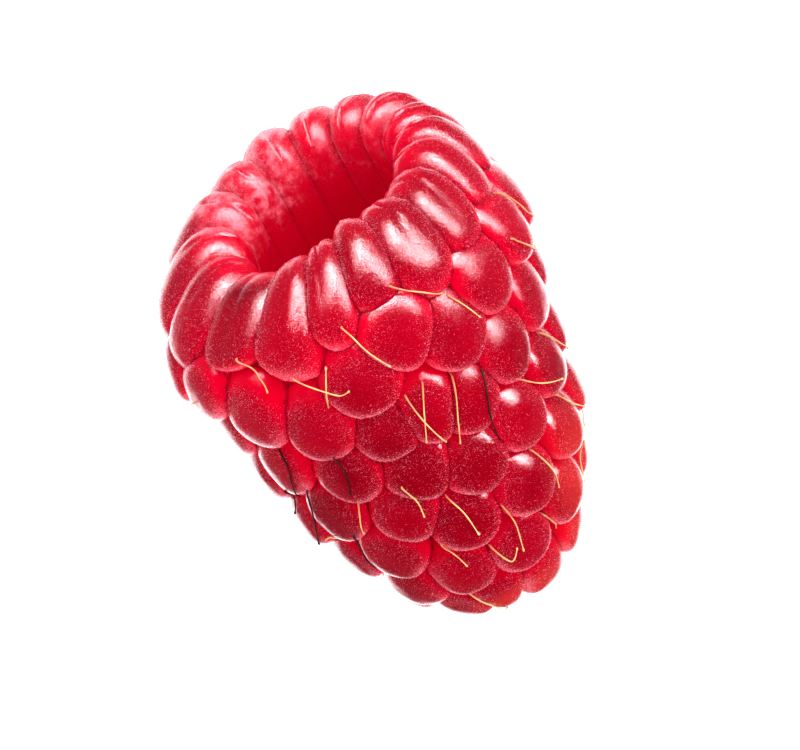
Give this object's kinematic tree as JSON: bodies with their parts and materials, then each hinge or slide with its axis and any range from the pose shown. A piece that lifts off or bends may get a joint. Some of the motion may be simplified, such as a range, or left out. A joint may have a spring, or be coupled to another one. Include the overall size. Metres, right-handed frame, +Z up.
{
  "type": "raspberry",
  "caption": "Ripe red raspberry as picked, lying on its side, its empty core open at one end, with fine dried styles over its drupelets.",
  "frame": {"origin": "centre of the footprint, on the surface that the berry lies on", "axes": "+Z up, the open end toward -Y and the tip toward +Y, so that the berry's length runs along Y"},
  "size_m": [0.019, 0.0254, 0.0184],
  "materials": {
    "flesh": "ripe crimson skin with a soft sheen and a fine velvety bloom",
    "dry_style": "dried golden-brown plant fibre"
  },
  "bodies": {
    "root": {"fruit": "flesh", "style_01": "dry_style", "style_02": "dry_style", "style_03": "dry_style", "style_04": "dry_style", "style_05": "dry_style", "style_06": "dry_style", "style_07": "dry_style", "style_08": "dry_style", "style_09": "dry_style", "style_10": "dry_style", "style_11": "dry_style", "style_12": "dry_style", "style_13": "dry_style", "style_14": "dry_style", "style_15": "dry_style", "style_16": "dry_style", "style_17": "dry_style", "style_18": "dry_style", "style_19": "dry_style", "style_20": "dry_style", "style_21": "dry_style", "style_22": "dry_style", "style_23": "dry_style", "style_24": "dry_style", "style_25": "dry_style", "style_26": "dry_style", "style_27": "dry_style", "style_28": "dry_style", "style_29": "dry_style", "style_30": "dry_style", "style_31": "dry_style", "style_32": "dry_style", "style_33": "dry_style", "style_34": "dry_style", "style_35": "dry_style", "style_36": "dry_style", "style_37": "dry_style", "style_38": "dry_style", "style_39": "dry_style", "style_40": "dry_style", "style_41": "dry_style", "style_42": "dry_style", "style_43": "dry_style", "style_44": "dry_style", "style_45": "dry_style", "style_46": "dry_style", "style_47": "dry_style", "style_48": "dry_style"}
  },
  "joints": []
}
